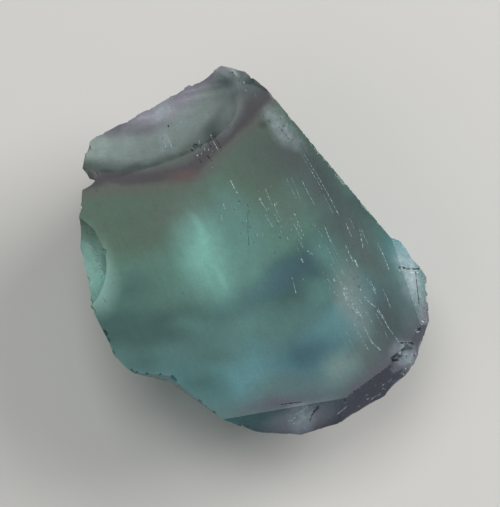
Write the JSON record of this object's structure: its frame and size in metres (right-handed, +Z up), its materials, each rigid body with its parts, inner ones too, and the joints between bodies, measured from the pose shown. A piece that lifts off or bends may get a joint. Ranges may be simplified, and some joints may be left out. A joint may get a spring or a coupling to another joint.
{
  "type": "fluorite cleavage piece",
  "caption": "Broken piece of banded green fluorite with a broad satin cleavage face, stepped cleavage sides, shell-shaped breaks and a chipped rim, lying on its flat back.",
  "frame": {"origin": "middle of the stone's footprint box, on the surface that its flat back rests on", "axes": "+Z up from the flat back to the broad face, +Y towards the pointed end of the outline, +X towards the long straight side"},
  "size_m": [0.0314, 0.0336, 0.013],
  "materials": {
    "fluorite": "satin, translucent"
  },
  "bodies": {
    "root": {"fluorite_crystal": "fluorite"}
  },
  "joints": []
}
